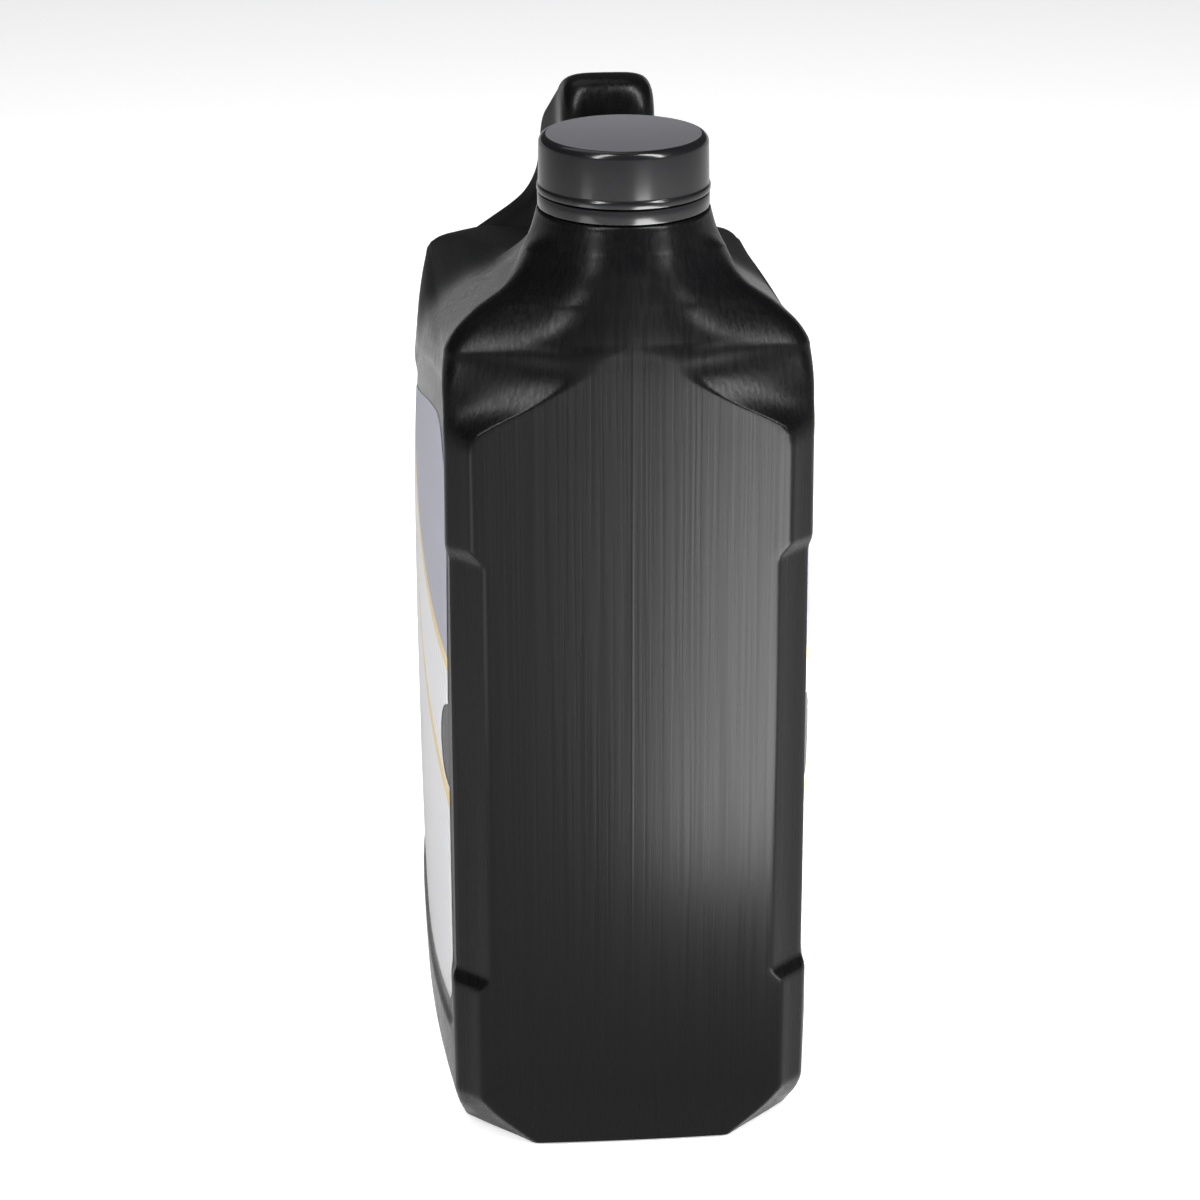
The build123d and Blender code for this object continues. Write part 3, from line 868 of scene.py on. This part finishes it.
def seen_directly(tree):
    """1 for rays from the camera, mirrors or glass that meet a surface, else 0."""
    path = tree.nodes.new("ShaderNodeLightPath")
    first = calculate(tree, "MAXIMUM", path.outputs["Is Camera Ray"], path.outputs["Is Glossy Ray"])
    return calculate(tree, "MAXIMUM", first, path.outputs["Is Transmission Ray"])


def floor_white(settings):
    """Pale floor: a matte surface that keeps the shadow, lifted to white for the camera and
    less in mirrors and glass."""
    material, tree, shader = new_material("Floor")
    shader.inputs["Base Color"].default_value = (0.8, 0.8, 0.8, 1)
    shader.inputs["Roughness"].default_value = 0.9
    shader.inputs["Specular IOR Level"].default_value = 0.0
    shader.inputs["Emission Strength"].default_value = 1.0
    path = tree.nodes.new("ShaderNodeLightPath")
    seen = calculate(tree, "MULTIPLY", seen_directly(tree), 0.4)
    share = calculate(tree, "MULTIPLY_ADD", path.outputs["Is Camera Ray"], 0.6, seen)
    lift = calculate(tree, "MULTIPLY", share, settings.floor_lift)
    colour = tree.nodes.new("ShaderNodeCombineColor")
    for channel in ("Red", "Green", "Blue"):
        link(tree, lift, colour.inputs[channel])
    link(tree, colour.outputs["Color"], shader.inputs["Emission Color"])
    return material


def white_world(settings):
    """Surroundings that are white at the horizon and dark above it where they are seen, and
    an even dim light elsewhere."""
    world = bpy.data.worlds.new("Surroundings")
    bpy.context.scene.world = world
    world.use_nodes = True
    tree = world.node_tree
    background = tree.nodes["Background"]
    background.inputs["Color"].default_value = (1, 1, 1, 1)
    sky = map_range(tree, object_axes(tree)["Z"], -0.02, 0.1, 1.0, 0.06)
    strength = tree.nodes.new("ShaderNodeMapRange")
    strength.inputs["To Min"].default_value = settings.ambient
    link(tree, sky, strength.inputs["To Max"])
    link(tree, seen_directly(tree), strength.inputs["Value"])
    link(tree, strength.outputs["Result"], background.inputs["Strength"])


# Settings, operators and panel


class OILBOTTLE_PG_bottle(bpy.types.PropertyGroup):
    """Finish and fine form of the bottle."""

    colour: FloatVectorProperty(name="Colour", description="Colour of the bottle's plastic",
                                subtype="COLOR", default=(0.0018, 0.0018, 0.002), min=0, max=1)
    roughness: FloatProperty(name="Roughness", description="Mean roughness of the moulded skin",
                             subtype="FACTOR", default=0.28, min=0, max=1)
    panel_crown: FloatProperty(name="Panel crown", description="How far the panels' sides fall back",
                               subtype="DISTANCE", unit="LENGTH", default=0.0012, min=0, max=0.003)
    recess_depth: FloatProperty(name="Recess depth", description="Depth of the label recesses",
                                subtype="DISTANCE", unit="LENGTH", default=0.0013, min=0, max=0.004)


class OILBOTTLE_PG_closure(bpy.types.PropertyGroup):
    """Size and colour of the cap."""

    cap_radius: FloatProperty(name="Cap radius", description="Outer radius of the cap's skirt",
                              subtype="DISTANCE", unit="LENGTH", default=0.0245, min=0.0235,
                              max=0.0245)
    cap_colour: FloatVectorProperty(name="Colour", description="Colour of the cap and the band",
                                    subtype="COLOR", default=(0.0045, 0.0045, 0.005), min=0, max=1)


class OILBOTTLE_PG_labels(bpy.types.PropertyGroup):
    """Thickness and print colours of the labels."""

    thickness: FloatProperty(name="Thickness", description="Thickness of the label's film",
                             subtype="DISTANCE", unit="LENGTH", default=0.00022, min=0.0001,
                             max=0.0003)
    silver: FloatVectorProperty(name="Silver", description="Colour of the lower field",
                                subtype="COLOR", default=(0.48, 0.48, 0.49), min=0, max=1)
    violet: FloatVectorProperty(name="Violet", description="Colour of the upper field",
                                subtype="COLOR", default=(0.25, 0.25, 0.29), min=0, max=1)
    gold: FloatVectorProperty(name="Gold", description="Colour of the slanted bands",
                              subtype="COLOR", default=(0.48, 0.38, 0.20), min=0, max=1)


class OILBOTTLE_PG_stage(bpy.types.PropertyGroup):
    """Lamps, surroundings and camera."""

    left_power: FloatProperty(name="Left lamp", description="Power of the left lamp",
                              unit="POWER", default=26.0, min=0)
    right_power: FloatProperty(name="Right lamp", description="Power of the right lamp",
                               unit="POWER", default=36.0, min=0)
    low_left_power: FloatProperty(name="Low left lamp", description="Power of the low left lamp",
                                  unit="POWER", default=2.0, min=0)
    low_right_power: FloatProperty(name="Low right lamp", description="Power of the low right lamp",
                                   unit="POWER", default=16.0, min=0)
    top_power: FloatProperty(name="Top lamp", description="Power of the lamp above and behind",
                             unit="POWER", default=3.0, min=0)
    ambient: FloatProperty(name="Surroundings", description="Strength of the even light",
                           default=0.12, min=0, max=2)
    floor_lift: FloatProperty(name="Floor lift", description="How far the seen floor is lifted",
                              default=0.5, min=0, max=1)
    lens: FloatProperty(name="Focal length", description="Focal length of the camera",
                        subtype="DISTANCE_CAMERA", default=94.3, min=10)
    camera_place: FloatVectorProperty(name="Camera place", description="Where the camera stands",
                                      subtype="TRANSLATION", unit="LENGTH",
                                      default=(-0.0730, -0.9304, 0.5173))
    camera_turn: FloatVectorProperty(name="Camera turn", description="Turn of the camera in degrees",
                                     default=(67.93, 0.16, -4.46))


class OILBOTTLE_OT_bottle(bpy.types.Operator):
    """Build the blow-moulded bottle with its handle and neck"""

    bl_idname = "oilbottle.bottle"
    bl_label = "Build Bottle"

    def execute(self, context):
        make_bottle(context.scene.oilbottle_bottle)
        return {"FINISHED"}


class OILBOTTLE_OT_closure(bpy.types.Operator):
    """Build the screw cap, the tamper band and the liner's finish"""

    bl_idname = "oilbottle.closure"
    bl_label = "Build Closure"

    def execute(self, context):
        make_closure(context.scene.oilbottle_closure)
        return {"FINISHED"}


class OILBOTTLE_OT_labels(bpy.types.Operator):
    """Build the two labels in their recesses"""

    bl_idname = "oilbottle.labels"
    bl_label = "Build Labels"

    def execute(self, context):
        make_labels(context.scene.oilbottle_labels, context.scene.oilbottle_bottle.recess_depth)
        return {"FINISHED"}


class OILBOTTLE_OT_stage(bpy.types.Operator):
    """Build the floor, the lamps, the surroundings and the camera"""

    bl_idname = "oilbottle.stage"
    bl_label = "Build Stage"

    def execute(self, context):
        make_stage(context.scene.oilbottle_stage)
        return {"FINISHED"}


class OILBOTTLE_PT_panel(bpy.types.Panel):
    """Sidebar panel that lists the bottle's operators with their settings"""

    bl_label = "Oil Bottle"
    bl_idname = "OILBOTTLE_PT_panel"
    bl_space_type = "VIEW_3D"
    bl_region_type = "UI"
    bl_category = "Oil Bottle"

    def draw(self, context):
        for operator, settings in (
                ("oilbottle.bottle", context.scene.oilbottle_bottle),
                ("oilbottle.closure", context.scene.oilbottle_closure),
                ("oilbottle.labels", context.scene.oilbottle_labels),
                ("oilbottle.stage", context.scene.oilbottle_stage)):
            box = self.layout.box()
            for name in settings.__annotations__:
                box.prop(settings, name)
            box.operator(operator)


GROUPS = {
    "oilbottle_bottle": OILBOTTLE_PG_bottle,
    "oilbottle_closure": OILBOTTLE_PG_closure,
    "oilbottle_labels": OILBOTTLE_PG_labels,
    "oilbottle_stage": OILBOTTLE_PG_stage,
}
CLASSES = (
    *GROUPS.values(), OILBOTTLE_OT_bottle, OILBOTTLE_OT_closure, OILBOTTLE_OT_labels,
    OILBOTTLE_OT_stage, OILBOTTLE_PT_panel,
)


def register():
    """Registers the classes and hangs each group of settings on the scene."""
    for cls in CLASSES:
        bpy.utils.register_class(cls)
    for name, group in GROUPS.items():
        setattr(bpy.types.Scene, name, PointerProperty(type=group))


def unregister():
    """Takes the settings and the classes out again."""
    for name in GROUPS:
        delattr(bpy.types.Scene, name)
    for cls in reversed(CLASSES):
        bpy.utils.unregister_class(cls)


def main():
    register()
    bpy.ops.oilbottle.stage()
    bpy.ops.oilbottle.bottle()
    bpy.ops.oilbottle.closure()
    bpy.ops.oilbottle.labels()


if __name__ == "__main__":
    main()
